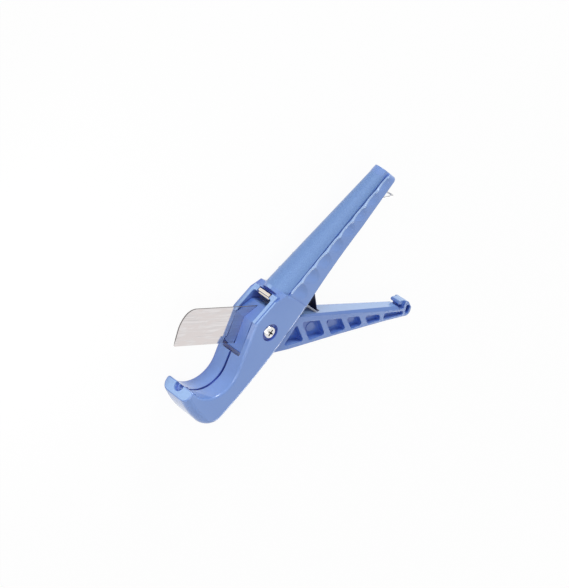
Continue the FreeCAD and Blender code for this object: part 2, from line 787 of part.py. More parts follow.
# ---------------------------------------------------------------- blade, along its own X, cutting edge on +Y
blade = new_body("blade")
blade_outline = sketch_on(blade, "blade_outline", "XY_Plane")
add_outline(blade_outline, [
    (-9.0, 8.0),
    (-9.0, -9.0),
    (-4.0, "-blade_spine"),
    (58.0, "-blade_spine"),
    (66.6, -9.4, 10.2),
    (69.9, 1.2, 21.0),
    ("blade_long", 12.6),
    (69.4, "blade_edge"),
    (-4.0, "blade_edge"),
])
pad(blade, "blade_pad", blade_outline, "blade_thick")
half_thick = size("blade_thick") / 2
bevel = sketch_on(blade, "bevel", "YZ_Plane")
for side in (1, -1):
    add_outline(bevel, [
        (edge_y - 5.8, side * half_thick),
        (edge_y + 0.5, side * 0.01),
        (edge_y + 0.5, side * (half_thick + 0.5)),
        (edge_y - 5.8, side * (half_thick + 0.5)),
    ])
pocket(blade, "bevel_cut", bevel)
blade_holes = sketch_on(blade, "blade_holes", "XY_Plane")
add_circle(blade_holes, 0.0, 0.0, size("sleeve_od") + 1.0)
for x, y in DOWELS:
    add_circle(blade_holes, x, y, 3.04)
pocket(blade, "blade_holes_cut", blade_holes)
place(blade, degrees="blade_deg")

for label, (x, y) in zip(("blade_pin_front", "blade_pin_back"), DOWELS):
    dowel = new_body(label)
    ring = sketch_on(dowel, label + "_circle", "XY_Plane")
    spot = turned((x, y), size("blade_deg"))
    add_circle(ring, 0.0, 0.0, "dowel_dia")
    pad(dowel, label + "_pad", ring, size("lever_width") - 0.2)
    place(dowel, x="sizes.pivot_x + (%.4f)" % spot[0], y="sizes.pivot_y + (%.4f)" % spot[1])

# ---------------------------------------------------------------- pivot
sleeve = new_body("pivot_sleeve")
tube = sketch_on(sleeve, "tube", "XY_Plane")
add_circle(tube, 0.0, 0.0, "sleeve_od")
add_circle(tube, 0.0, 0.0, "sleeve_id")
pad(sleeve, "tube_pad", tube, size("cavity_width") - 0.1)
place(sleeve)

screw = new_body("pivot_screw")
head_floor = size("recess_floor")
shank_end = size("nut_seat") - size("nut_high") - 0.3
profile = sketch_on(screw, "profile", "XZ_Plane")
shank = size("screw_shank") / 2
head_half = size("screw_head") / 2
head_top = head_floor + size("screw_head_high")
add_outline(profile, [
    (0.0, shank_end),
    (shank - 0.5, shank_end),
    (shank, shank_end + 0.5),
    (shank, head_floor),
    (head_half, head_floor),
    (head_half, head_floor + 1.0),
    (head_half - 0.7, head_top - 0.6),
    (head_half - 2.0, head_top - 0.1),
    (0.0, head_top),
])
turned_screw = screw.newObject("PartDesign::Revolution", "screw_turned")
turned_screw.Profile = profile
turned_screw.ReferenceAxis = (profile, ["V_Axis"])
turned_screw.Angle = 360
profile.Visibility = False
doc.recompute()
cross = sketch_on(screw, "cross", "XY_Plane", head_top + 0.2)
arm, span = 0.55, 2.5
add_outline(cross, [
    (span, -arm), (span, arm), (arm, arm), (arm, span), (-arm, span), (-arm, arm),
    (-span, arm), (-span, -arm), (-arm, -arm), (-arm, -span), (arm, -span), (arm, -arm),
])
pocket(screw, "cross_cut", cross, 1.9, middle=False)
place(screw)

nut = new_body("pivot_nut")
hexagon = sketch_on(nut, "hexagon", "XY_Plane")
add_outline(hexagon, [polar(size("nut_flats") / math.sqrt(3), 60.0 * i) for i in range(6)])
add_circle(hexagon, 0.0, 0.0, 5.0)
pad(nut, "nut_pad", hexagon, "nut_high")
place(nut, z="pivot_z")
nut.setExpression("Placement.Base.z", "sizes.pivot_z + sizes.nut_seat - sizes.nut_high / 2 - 0.01")

# ---------------------------------------------------------------- leaf spring and its pin
spring_pin = new_body("spring_pin")
pin_circle = sketch_on(spring_pin, "pin_circle", "XY_Plane")
add_circle(pin_circle, EYE[0], EYE[1], "spring_pin_dia")
pad(spring_pin, "pin_pad", pin_circle, 19.6)
place(spring_pin)

spring = new_body("return_spring")
leaf = sketch_on(spring, "leaf_outline", "XY_Plane")
add_outline(leaf, ribbon([
    (EYE[0] - 1.1, EYE[1] - 0.4),
    (18.1, 10.1, 0.9),
    (18.1, 1.7, 2.4),
    (31.0, ridge_y(31.0) - 3.8, 12.0),
    (53.5, ridge_y(53.5) - 3.8, 3.2),
    (30.4, -37.8, 1.0),
    (31.5, -39.7),
], size("spring_thick")))
pad(spring, "leaf_pad", leaf, "spring_wide")
eye = sketch_on(spring, "eye_outline", "XY_Plane")
add_circle(eye, EYE[0], EYE[1], "spring_eye_dia")
add_circle(eye, EYE[0], EYE[1], size("spring_eye_dia") - 2 * size("spring_thick"))
pad(spring, "eye_pad", eye, "spring_wide")
place(spring)

# ---------------------------------------------------------------- wire latch, along its own X
latch = new_body("wire_latch")
bail = sketch_on(latch, "bail", "XZ_Plane")
leg = size("latch_leg")
half_span = size("latch_half")
bend = 1.6
add_outline(bail, [
    (0.0, half_span),
    (leg - bend, half_span),
    (leg, half_span - bend, -bend),
    (leg, bend - half_span),
    (leg - bend, -half_span, -bend),
    (0.0, -half_span),
], closed=False)
wire = sketch_on(latch, "wire", "YZ_Plane")
add_circle(wire, 0.0, half_span, "wire_dia")
wire_sweep = latch.newObject("PartDesign::AdditivePipe", "bail_wire")
wire_sweep.Profile = wire
wire_sweep.Spine = (bail, ["Edge%d" % (i + 1) for i in range(5)])
wire.Visibility = False
bail.Visibility = False
doc.recompute()

# Ends turned outwards into the handle's walls
stub_in = half_span - 0.9
stub_out = half_span + 2.1
for name, start in (("stub_near", stub_in), ("stub_far", -stub_out)):
    tail = sketch_on(latch, name + "_circle", "XY_Plane", start)
    add_circle(tail, 0.0, 0.0, "wire_dia")
    pad(latch, name, tail, stub_out - stub_in, middle=False)
place(latch, x="sizes.pivot_x + sizes.latch_x", y="sizes.pivot_y + sizes.latch_y", degrees="latch_deg")
doc.recompute()

# ---------------------------------------------------------------- checks and files
PARTS = [handle_part, lever, blade, doc.getObject("blade_pin_front"), doc.getObject("blade_pin_back"),
         sleeve, screw, nut, spring_pin, spring, latch]
for item in doc.Objects:
    if "Invalid" in item.State or "Error" in item.State:
        raise RuntimeError("%s failed: %s" % (item.Name, item.State))
for item in PARTS:
    if item.Shape.isNull() or not item.Shape.isValid():
        raise RuntimeError("%s has no valid shape" % item.Label)
for item in PARTS:
    item.Shape.exportStep("parts/%s.step" % item.Label)
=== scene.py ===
import json
import math

import bpy
import numpy as np
from mathutils import Matrix, Vector


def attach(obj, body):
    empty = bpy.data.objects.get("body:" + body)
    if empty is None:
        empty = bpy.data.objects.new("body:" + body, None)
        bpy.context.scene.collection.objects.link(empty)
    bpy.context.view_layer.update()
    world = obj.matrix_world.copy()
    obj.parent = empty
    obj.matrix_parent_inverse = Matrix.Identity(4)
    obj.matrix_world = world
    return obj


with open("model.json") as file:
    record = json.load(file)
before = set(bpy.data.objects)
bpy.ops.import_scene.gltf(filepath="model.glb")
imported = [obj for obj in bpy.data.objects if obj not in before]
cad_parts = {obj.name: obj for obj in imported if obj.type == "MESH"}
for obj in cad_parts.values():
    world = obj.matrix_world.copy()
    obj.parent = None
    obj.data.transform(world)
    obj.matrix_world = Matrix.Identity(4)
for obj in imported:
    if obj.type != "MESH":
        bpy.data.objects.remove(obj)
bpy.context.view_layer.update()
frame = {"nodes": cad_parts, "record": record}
nodes = frame["nodes"]
joints = {joint["name"]: joint for joint in frame["record"]["behaviour"]["joints"]}

MM = 0.001
# Places are measured in mm from the pivot axis, at half the tool's thickness
PIVOT = np.array(joints["lever_pivot"]["pos_m"])

# Handle: a straight taper from its root to its end. Its back is a plane along both beads
ROOT_X, END_X = 28.8, 138.4
ROOT_HALF, END_HALF = 13.53, 7.98
RIDGE_POINT = Vector((28.8, 2.52, 0.0))
RIDGE_NORMAL = Vector((0.2022, 0.9793, 0.0))
RIDGE_PLANE = RIDGE_POINT.dot(RIDGE_NORMAL)
# Finger dishes along both sides, and how far below the ridges their shading starts
DISH_FIRST, DISH_PITCH, DISH_COUNT = 34.5, 13.6, 8
DISH_HALF = 6.5
DISH_DEPTH = 1.1
DISH_TOP = 0.3
DISH_REACH_ROOT, DISH_REACH_END = 13.0, 4.8
DISH_BUMP = 0.17
# Grained field on the handle's back, and the lengths over which it sets in
GRAIN_START, GRAIN_END = 27.0, 132.3
GRAIN_FADE_IN, GRAIN_FADE_OUT = 1.2, 0.4
GRAIN_RISE_FROM, GRAIN_RISE_TO = 0.2, 0.6
# Flat lands, which get a painted highlight: those of the jaw and the window face one way above a height, and
# the lever has one, its crown
LAND_NORMAL = (0.1, 0.995, 0.0)
LAND_ABOVE = 11.2
LAND_FADE = 0.4
CROWN_NORMAL = (0.892, 0.452, 0.0)
ANY_HEIGHT = -200.0
# Spring's rolled eye: its middle, how far its painted highlight reaches, and from where the strip is fully in
# painted shade
EYE = (20.8, 11.0, 0.0)
HIGHLIGHT_RADIUS, SHADE_RADIUS = 2.2, 3.4
# Direction in which the blade was ground, in degrees
BLADE_TURN = 116.5


def place(x, y, z):
    """A point given from the pivot in mm, in the row frame in metres."""
    return Vector(PIVOT + np.array((x, y, z)) * MM)


# ---------------------------------------------------------------- finishes
ABS_FACE = "#698ccd"
ABS_FLOW = "#7092d1"
# Painted shade: the deeper blue of corners and pockets
ABS_PAINTED_SHADE = "#3a49b4"
LEVER_FACE = "#5479bf"
LEVER_FLOW = "#5b80c4"
# Painted shade in the lever's pockets
LEVER_PAINTED_SHADE = "#4a70cc"
# Painted highlight on flat lands
ABS_LAND_HIGHLIGHT = "#93b4e4"
ABS_GRAIN_LOW = "#5d80bd"
ABS_GRAIN_HIGH = "#7499cd"
# Painted highlight on the grip's beads
BEAD_HIGHLIGHT_LOW = "#93b1e0"
BEAD_HIGHLIGHT_HIGH = "#9ebbe6"
BLADE_STREAK = "#cfcaca"
BLADE_GROUND = "#e2dede"
BLADE_WIPED = "#dad3d2"
BLADE_SHEARED = "#75706f"
# Painted shade on the spring strip, and painted highlight on its rolled eye
SPRING_SHADE = "#232744"
EYE_HIGHLIGHT_LINE = "#d8c7b2"
EYE_HIGHLIGHT_TONE = "#fbf6ee"

ABS_IOR = 1.54
# The skin that a polished mould leaves, as a thin clear coat
SKIN_ROUGH = 0.08
SKIN_IOR = 1.35

# Real sizes of patterns and roundings, in mm
FLOW_LINE = 40.0
GRAIN_SIZE = 0.625
GRAIN_HEIGHT = 0.04
EDGE_ROUND = 0.4
LAND_EDGE = 0.9
LINE_DEPTH = 0.004

# How far a hollow's walls still darken it with painted shade, in mm
POCKET_REACH = 9.0
BEAD_REACH = 1.2
RECESS_REACH = 2.2
SHELTER_SAMPLES = 8
EDGE_SAMPLES = 6

# Sockets of a colour mix and of a number mix, which share names, by their places
SHARE, FIRST, SECOND, MIXED = 0, 6, 7, 2
NUMBER_FIRST, NUMBER_SECOND, NUMBER_MIXED = 2, 3, 0


def linear(code):
    """sRGB hex to linear RGBA."""
    values = [int(code[i:i + 2], 16) / 255 for i in (1, 3, 5)]
    return tuple(v / 12.92 if v <= 0.04045 else ((v + 0.055) / 1.055) ** 2.4 for v in values) + (1.0,)


def add(tree, kind, inputs=(), **settings):
    """Adds a node. Its inputs are a list in the order of its sockets, or go by socket, and each is a value
    or a link, (node, output). Its settings are attributes."""
    node = tree.nodes.new(kind)
    for key, value in settings.items():
        setattr(node, key, value)
    pairs = inputs.items() if isinstance(inputs, dict) else enumerate(inputs)
    for socket, value in pairs:
        if isinstance(value, tuple) and isinstance(value[0], bpy.types.Node):
            tree.links.new(value[0].outputs[value[1]], node.inputs[socket])
        else:
            node.inputs[socket].default_value = value
    return node


def new_material(name):
    """Empty material and its Object coordinates in mm from the pivot."""
    material = bpy.data.materials.new(name)
    material.use_nodes = True
    tree = material.node_tree
    tree.nodes.clear()
    own = add(tree, "ShaderNodeTexCoord")
    mm = add(tree, "ShaderNodeMapping",
             {"Vector": (own, "Object"), "Location": tuple(-PIVOT / MM), "Scale": (1 / MM, 1 / MM, 1 / MM)})
    return material, tree, mm


def land_highlight_share(tree, split, facing, lowest):
    """Share of the painted highlight on a flat land: 1 where the surface faces the given way above the lowest
    height, and 0 at its edges."""
    own = add(tree, "ShaderNodeTexCoord")
    toward = add(tree, "ShaderNodeVectorMath", [(own, "Normal"), facing], operation="DOT_PRODUCT")
    # Cosines of 15 and 10 degrees
    level = add(tree, "ShaderNodeMapRange",
                {"Value": (toward, "Value"), "From Min": 0.965, "From Max": 0.985})
    high = add(tree, "ShaderNodeMapRange",
               {"Value": (split, "Y"), "From Min": lowest, "From Max": lowest + LAND_FADE})
    shape = add(tree, "ShaderNodeNewGeometry")
    rounded = add(tree, "ShaderNodeBevel", {"Radius": LAND_EDGE * MM}, samples=EDGE_SAMPLES)
    # Near an edge the rounded normal turns away from the true one: cosines of 22 and 8 degrees
    bend = add(tree, "ShaderNodeVectorMath", [(rounded, "Normal"), (shape, "True Normal")],
               operation="DOT_PRODUCT")
    off_edge = add(tree, "ShaderNodeMapRange", {"Value": (bend, "Value"), "From Min": 0.93, "From Max": 0.99})
    level_high = add(tree, "ShaderNodeMath", [(level, "Result"), (high, "Result")], operation="MULTIPLY")
    return add(tree, "ShaderNodeMath", [(level_high, "Value"), (off_edge, "Result")], operation="MULTIPLY")


def grained_field(tree, split, height):
    """Share of the grained field: 1 above the ridge plane, between the head's deck and the smooth end."""
    above = add(tree, "ShaderNodeMapRange",
                {"Value": (height, "Value"),
                 "From Min": RIDGE_PLANE + GRAIN_RISE_FROM, "From Max": RIDGE_PLANE + GRAIN_RISE_TO})
    begun = add(tree, "ShaderNodeMapRange",
                {"Value": (split, "X"), "From Min": GRAIN_START, "From Max": GRAIN_START + GRAIN_FADE_IN})
    not_over = add(tree, "ShaderNodeMapRange",
                   {"Value": (split, "X"), "From Min": GRAIN_END + GRAIN_FADE_OUT, "From Max": GRAIN_END})
    along = add(tree, "ShaderNodeMath", [(begun, "Result"), (not_over, "Result")], operation="MULTIPLY")
    return add(tree, "ShaderNodeMath", [(along, "Value"), (above, "Result")], operation="MULTIPLY")


def dish_relief(tree, split, height):
    """Finger dishes in mm, below 0: a paraboloid each, 1 less the squares of the shares across and down, so
    that it is round at its lower end. It is shallower than the solid's own hollow, and its depth follows its
    reach."""
    from_first = add(tree, "ShaderNodeMath", [(split, "X"), DISH_FIRST], operation="SUBTRACT")
    wrapped = add(tree, "ShaderNodeMath", [(from_first, "Value"), DISH_PITCH / 2, -DISH_PITCH / 2],
                  operation="WRAP")
    across = add(tree, "ShaderNodeMath", [(wrapped, "Value"), DISH_HALF], operation="DIVIDE")
    across_square = add(tree, "ShaderNodeMath", [(across, "Value"), (across, "Value")], operation="MULTIPLY")
    below = add(tree, "ShaderNodeMath", [RIDGE_PLANE, (height, "Value")], operation="SUBTRACT")
    reach = add(tree, "ShaderNodeMapRange",
                {"Value": (split, "X"), "From Min": ROOT_X, "From Max": END_X,
                 "To Min": DISH_REACH_ROOT, "To Max": DISH_REACH_END})
    down = add(tree, "ShaderNodeMath", [(below, "Value"), (reach, "Result")], operation="DIVIDE")
    down_square = add(tree, "ShaderNodeMath", [(down, "Value"), (down, "Value")], operation="MULTIPLY")
    left_over = add(tree, "ShaderNodeMath", [1.0, (across_square, "Value")], operation="SUBTRACT")
    bowl = add(tree, "ShaderNodeMath", [(left_over, "Value"), (down_square, "Value")], operation="SUBTRACT")
    hollow = add(tree, "ShaderNodeMath", [(bowl, "Value"), 0.0], operation="MAXIMUM")
    on_side = add(tree, "ShaderNodeMath", [(below, "Value"), DISH_TOP], operation="GREATER_THAN")
    on_handle = add(tree, "ShaderNodeMath", [(split, "X"), ROOT_X], operation="GREATER_THAN")
    side_field = add(tree, "ShaderNodeMath", [(on_side, "Value"), (on_handle, "Value")], operation="MULTIPLY")
    dish = add(tree, "ShaderNodeMath", [(hollow, "Value"), (side_field, "Value")], operation="MULTIPLY")
    deepest = add(tree, "ShaderNodeMath", [(reach, "Result"), -DISH_BUMP], operation="MULTIPLY")
    return add(tree, "ShaderNodeMath", [(dish, "Value"), (deepest, "Value")], operation="MULTIPLY")


def moulded_abs(name, face_code, flow_code, shade_code, open_from, coat, land_normal, land_above):
    """ABS, injection moulded in a polished mould: a bright skin with soft, wide reflections, and painted
    shade, a deeper blue, in corners and pockets. Flat lands get a painted highlight that makes them lighter,
    and the handle's back is spark eroded to a fine matt grain."""
    material, tree, mm = new_material(name)
    split = add(tree, "ShaderNodeSeparateXYZ", {"Vector": (mm, "Vector")})
    height = add(tree, "ShaderNodeVectorMath", [(mm, "Vector"), tuple(RIDGE_NORMAL)], operation="DOT_PRODUCT")
    # Flow lines of the moulding shift the colour slightly
    flow = add(tree, "ShaderNodeTexNoise",
               {"Vector": (mm, "Vector"), "Scale": 1 / FLOW_LINE, "Detail": 3.0, "Roughness": 0.5})
    flow_share = add(tree, "ShaderNodeMapRange", {"Value": (flow, "Fac"), "From Min": 0.35, "From Max": 0.65})
    face = add(tree, "ShaderNodeMix",
               {SHARE: (flow_share, "Result"), FIRST: linear(face_code), SECOND: linear(flow_code)},
               data_type="RGBA")
    # Painted shade: corners and pockets go towards a deeper blue by ambient occlusion
    shelter = add(tree, "ShaderNodeAmbientOcclusion", {"Distance": POCKET_REACH * MM},
                  samples=SHELTER_SAMPLES)
    open_share = add(tree, "ShaderNodeMapRange",
                     {"Value": (shelter, "AO"), "From Min": 0.1, "From Max": open_from})
    painted_shade = add(tree, "ShaderNodeMix",
                   {SHARE: (open_share, "Result"), FIRST: linear(shade_code), SECOND: (face, MIXED)},
                   data_type="RGBA")
    # Painted highlight: flat lands facing the given way are lighter, away from their edges and from the
    # painted shade
    lands = land_highlight_share(tree, split, land_normal, land_above)
    open_land_highlight = add(tree, "ShaderNodeMath", [(lands, "Value"), (open_share, "Result")], operation="MULTIPLY")
    skin = add(tree, "ShaderNodeMix",
               {SHARE: (open_land_highlight, "Value"), FIRST: (painted_shade, MIXED), SECOND: linear(ABS_LAND_HIGHLIGHT)},
               data_type="RGBA")
    # Spark-eroded grain is 0.3 mm across; drawn at 0.6 mm so that it shows
    field = grained_field(tree, split, height)
    grain = add(tree, "ShaderNodeTexNoise",
                {"Vector": (mm, "Vector"), "Scale": 1 / GRAIN_SIZE, "Detail": 2.0, "Roughness": 0.6})
    grain_share = add(tree, "ShaderNodeMapRange", {"Value": (grain, "Fac"), "From Min": 0.3, "From Max": 0.7})
    speckle = add(tree, "ShaderNodeMix",
                  {SHARE: (grain_share, "Result"),
                   FIRST: linear(ABS_GRAIN_LOW), SECOND: linear(ABS_GRAIN_HIGH)}, data_type="RGBA")
    colour = add(tree, "ShaderNodeMix",
                 {SHARE: (field, "Value"), FIRST: (skin, MIXED), SECOND: (speckle, MIXED)}, data_type="RGBA")
    sheen = add(tree, "ShaderNodeMapRange", {"Value": (field, "Value"), "To Min": 0.22, "To Max": 0.55})
    # Relief: the grain and the dishes, over edges that a mould never leaves sharp
    grain_high = add(tree, "ShaderNodeMath", [(grain, "Fac"), (field, "Value")], operation="MULTIPLY")
    grain_mm = add(tree, "ShaderNodeMath", [(grain_high, "Value"), GRAIN_HEIGHT], operation="MULTIPLY")
    dish_mm = dish_relief(tree, split, height)
    relief = add(tree, "ShaderNodeMath", [(grain_mm, "Value"), (dish_mm, "Value")], operation="ADD")
    edge = add(tree, "ShaderNodeBevel", {"Radius": EDGE_ROUND * MM}, samples=EDGE_SAMPLES)
    bump = add(tree, "ShaderNodeBump",
               {"Height": (relief, "Value"), "Normal": (edge, "Normal"), "Strength": 1.0, "Distance": MM})
    surface = add(tree, "ShaderNodeBsdfPrincipled",
                  {"Base Color": (colour, MIXED), "Roughness": (sheen, "Result"), "Normal": (bump, "Normal"),
                   "IOR": ABS_IOR, "Coat Weight": coat, "Coat Roughness": SKIN_ROUGH, "Coat IOR": SKIN_IOR})
    add(tree, "ShaderNodeOutputMaterial", {"Surface": (surface, "BSDF")})
    return material


def bead_highlight_abs():
    """The same ABS on the beads of the grip, a touch smoother, with a painted highlight that makes it lighter
    and painted shade where it meets the side.
    """
    material, tree, mm = new_material("bead_highlight_blue_abs")
    # Patches about 8 mm long in the painted highlight and the roughness
    patches = add(tree, "ShaderNodeTexNoise", {"Vector": (mm, "Vector"), "Scale": 0.12, "Detail": 3.0})
    patch_share = add(tree, "ShaderNodeMapRange", {"Value": (patches, "Fac"), "From Min": 0.35, "From Max": 0.65})
    skin = add(tree, "ShaderNodeMix",
               {SHARE: (patch_share, "Result"), FIRST: linear(BEAD_HIGHLIGHT_LOW), SECOND: linear(BEAD_HIGHLIGHT_HIGH)},
               data_type="RGBA")
    # Painted shade: where the bead meets the side it goes towards the deeper blue by ambient occlusion
    shelter = add(tree, "ShaderNodeAmbientOcclusion", {"Distance": BEAD_REACH * MM}, samples=SHELTER_SAMPLES)
    open_share = add(tree, "ShaderNodeMapRange", {"Value": (shelter, "AO"), "From Min": 0.0, "From Max": 0.6})
    colour = add(tree, "ShaderNodeMix",
                 {SHARE: (open_share, "Result"), FIRST: linear(ABS_PAINTED_SHADE), SECOND: (skin, MIXED)},
                 data_type="RGBA")
    sheen = add(tree, "ShaderNodeMapRange", {"Value": (patches, "Fac"), "To Min": 0.16, "To Max": 0.24})
    surface = add(tree, "ShaderNodeBsdfPrincipled",
                  {"Base Color": (colour, MIXED), "Roughness": (sheen, "Result"), "IOR": ABS_IOR,
                   "Coat Weight": 0.8, "Coat Roughness": SKIN_ROUGH, "Coat IOR": SKIN_IOR})
    add(tree, "ShaderNodeOutputMaterial", {"Surface": (surface, "BSDF")})
    return material


def worked_steel(name, code, shade_code, rough, rough_spread, line_size, stretch=(1.0, 1.0, 1.0)):
    """Steel with the lines of its last grinding or drawing: they are line_size mm apart, and stretch squeezes
    the pattern along them, so that they run in that direction. Hollows such as a cross recess go towards the
    given shade colour: painted shade by ambient occlusion."""
    material, tree, mm = new_material(name)
    squeezed = add(tree, "ShaderNodeVectorMath", [(mm, "Vector"), stretch], operation="MULTIPLY")
    lines = add(tree, "ShaderNodeTexNoise",
                {"Vector": (squeezed, "Vector"), "Scale": 1 / line_size, "Detail": 3.0})
    rough_map = add(tree, "ShaderNodeMapRange",
                    {"Value": (lines, "Fac"), "From Min": 0.3, "From Max": 0.7,
                     "To Min": rough, "To Max": rough + rough_spread})
    # Painted shade in hollows, by ambient occlusion
    shelter = add(tree, "ShaderNodeAmbientOcclusion", {"Distance": RECESS_REACH * MM},
                  samples=SHELTER_SAMPLES, only_local=True)
    open_share = add(tree, "ShaderNodeMapRange",
                     {"Value": (shelter, "AO"), "From Min": 0.45, "From Max": 0.9})
    tone = add(tree, "ShaderNodeMix",
               {SHARE: (open_share, "Result"), FIRST: linear(shade_code), SECOND: linear(code)},
               data_type="RGBA")
    bump = add(tree, "ShaderNodeBump",
               {"Height": (lines, "Fac"), "Strength": 0.25, "Distance": LINE_DEPTH * MM})
    surface = add(tree, "ShaderNodeBsdfPrincipled",
                  {"Base Color": (tone, MIXED), "Roughness": (rough_map, "Result"),
                   "Normal": (bump, "Normal"), "Metallic": 1.0})
    add(tree, "ShaderNodeOutputMaterial", {"Surface": (surface, "BSDF")})
    return material


def blade_steel():
    """Hardened strip, ground along its length and polished: a clear mirror with faint grinding streaks and
    wiping marks. Its sheared edges stay rough and darker."""
    material, tree, mm = new_material("polished_blade_steel")
    aligned = add(tree, "ShaderNodeMapping",
                  {"Vector": (mm, "Vector"), "Rotation": (0.0, 0.0, math.radians(BLADE_TURN))},
                  vector_type="TEXTURE")
    # Streaks 0.8 mm apart and 30 mm long
    squeezed = add(tree, "ShaderNodeVectorMath", [(aligned, "Vector"), (0.03, 1.0, 1.0)],
                   operation="MULTIPLY")
    streaks = add(tree, "ShaderNodeTexNoise",
                  {"Vector": (squeezed, "Vector"), "Scale": 1.2, "Detail": 4.0, "Roughness": 0.65})
    # Wiping marks: soft patches 3.6 mm wide and 12 mm long
    wiped = add(tree, "ShaderNodeVectorMath", [(aligned, "Vector"), (0.3, 1.0, 1.0)],
                operation="MULTIPLY")
    marks = add(tree, "ShaderNodeTexNoise",
                {"Vector": (wiped, "Vector"), "Scale": 0.28, "Detail": 3.0, "Distortion": 0.6})
    streak_share = add(tree, "ShaderNodeMapRange",
                       {"Value": (streaks, "Fac"), "From Min": 0.36, "From Max": 0.60})
    mark_share = add(tree, "ShaderNodeMapRange",
                     {"Value": (marks, "Fac"), "From Min": 0.42, "From Max": 0.56})
    ground = add(tree, "ShaderNodeMix",
                 {SHARE: (streak_share, "Result"), FIRST: linear(BLADE_STREAK), SECOND: linear(BLADE_GROUND)},
                 data_type="RGBA")
    polished = add(tree, "ShaderNodeMix",
                   {SHARE: (mark_share, "Result"), FIRST: linear(BLADE_WIPED), SECOND: (ground, MIXED)},
                   data_type="RGBA")
    # The broad faces lie flat, and all others are sheared
    shape = add(tree, "ShaderNodeNewGeometry")
    facing = add(tree, "ShaderNodeSeparateXYZ", {"Vector": (shape, "Normal")})
    flat = add(tree, "ShaderNodeMath", [(facing, "Z")], operation="ABSOLUTE")
    broad = add(tree, "ShaderNodeMapRange", {"Value": (flat, "Value"), "From Min": 0.4, "From Max": 0.6})
    tone = add(tree, "ShaderNodeMix",
               {SHARE: (broad, "Result"), FIRST: linear(BLADE_SHEARED), SECOND: (polished, MIXED)},
               data_type="RGBA")
    smooth = add(tree, "ShaderNodeMapRange", {"Value": (streaks, "Fac"), "To Min": 0.10, "To Max": 0.04})
    rough = add(tree, "ShaderNodeMix",
                {SHARE: (broad, "Result"), NUMBER_FIRST: 0.5, NUMBER_SECOND: (smooth, "Result")},
                data_type="FLOAT")
    surface = add(tree, "ShaderNodeBsdfPrincipled",
                  {"Base Color": (tone, MIXED), "Roughness": (rough, NUMBER_MIXED), "Metallic": 1.0})
    add(tree, "ShaderNodeOutputMaterial", {"Surface": (surface, "BSDF")})
    return material


def leaf_spring_steel():
    """Spring steel strip with a cool sheen. Its colour is painted shade: near black away from the eye. The
    rolled eye gets a painted highlight: bright, with darker lines along the pin."""
    material, tree, mm = new_material("shaded_spring_strip")
    from_eye = add(tree, "ShaderNodeVectorMath", [(mm, "Vector"), EYE], operation="SUBTRACT")
    flat = add(tree, "ShaderNodeVectorMath", [(from_eye, "Vector"), (1.0, 1.0, 0.0)], operation="MULTIPLY")
    distance = add(tree, "ShaderNodeVectorMath", [(flat, "Vector")], operation="LENGTH")
    # Painted shade on the strip, fading into the eye's painted highlight
    shaded_strip = add(tree, "ShaderNodeMapRange",
                {"Value": (distance, "Value"), "From Min": HIGHLIGHT_RADIUS, "From Max": SHADE_RADIUS})
    # Lines 0.6 mm apart
    lines = add(tree, "ShaderNodeTexNoise", {"Vector": (flat, "Vector"), "Scale": 1.8, "Detail": 2.0})
    line_share = add(tree, "ShaderNodeMapRange",
                     {"Value": (lines, "Fac"), "From Min": 0.35, "From Max": 0.65})
    # Painted highlight on the rolled eye
    bright = add(tree, "ShaderNodeMix",
                 {SHARE: (line_share, "Result"), FIRST: linear(EYE_HIGHLIGHT_LINE), SECOND: linear(EYE_HIGHLIGHT_TONE)},
                 data_type="RGBA")
    tone = add(tree, "ShaderNodeMix",
               {SHARE: (shaded_strip, "Result"), FIRST: (bright, MIXED), SECOND: linear(SPRING_SHADE)},
               data_type="RGBA")
    rough = add(tree, "ShaderNodeMapRange", {"Value": (shaded_strip, "Result"), "To Min": 0.16, "To Max": 0.32})
    surface = add(tree, "ShaderNodeBsdfPrincipled",
                  {"Base Color": (tone, MIXED), "Roughness": (rough, "Result"), "Metallic": 1.0})
    add(tree, "ShaderNodeOutputMaterial", {"Surface": (surface, "BSDF")})
    return material


def dress(node, material):
    """Gives a CAD node one material."""
    mesh = nodes[node].data
    mesh.materials.clear()
    mesh.materials.append(material)


handle_abs = moulded_abs("moulded_blue_abs", ABS_FACE, ABS_FLOW, ABS_PAINTED_SHADE,
                         open_from=0.75, coat=0.8, land_normal=LAND_NORMAL, land_above=LAND_ABOVE)
lever_abs = moulded_abs("moulded_blue_abs_lever", LEVER_FACE, LEVER_FLOW, LEVER_PAINTED_SHADE,
                        open_from=0.98, coat=0.6, land_normal=CROWN_NORMAL, land_above=ANY_HEIGHT)
bead_abs = bead_highlight_abs()
pin_steel = worked_steel("ground_pin_steel", "#b9b9bd", "#6a6a70",
                         rough=0.20, rough_spread=0.10, line_size=1.1, stretch=(1.0, 1.0, 0.1))
# Screw and nut: turned steel, nickel plated
plated = worked_steel("nickel_plated_steel", "#e2e1df", "#1d1f2c",
                      rough=0.10, rough_spread=0.08, line_size=0.5)
latch_wire = worked_steel("drawn_latch_wire", "#d2d2d4", "#8d8e94",
                          rough=0.16, rough_spread=0.08, line_size=0.6)

dress("jaw_handle", handle_abs)
dress("lever", lever_abs)
dress("blade", blade_steel())
for pin in ("blade_pin_front", "blade_pin_back", "pivot_sleeve", "spring_pin"):
    dress(pin, pin_steel)
dress("pivot_screw", plated)
dress("pivot_nut", plated)
dress("return_spring", leaf_spring_steel())
dress("wire_latch", latch_wire)

# ---------------------------------------------------------------- beads on the handle, marks in the pockets
BEAD_FROM, BEAD_TO = 29.2, 136.6
BEAD_WIDE = 2.0
BEAD_HIGH = 0.95
BEAD_SUNK = 0.42
# How far a bead stands out past the side, in a dish and between two
OVERHANG_LOW, OVERHANG_HIGH = 0.20, 0.60
# A bead thins out over these lengths at its ends, down to this share
BEAD_FADE_IN, BEAD_FADE_OUT = 2.0, 1.5
BEAD_TIP = 0.15
BEAD_RINGS, BEAD_AROUND = 260, 20

POCKET_FLOOR = 3.2
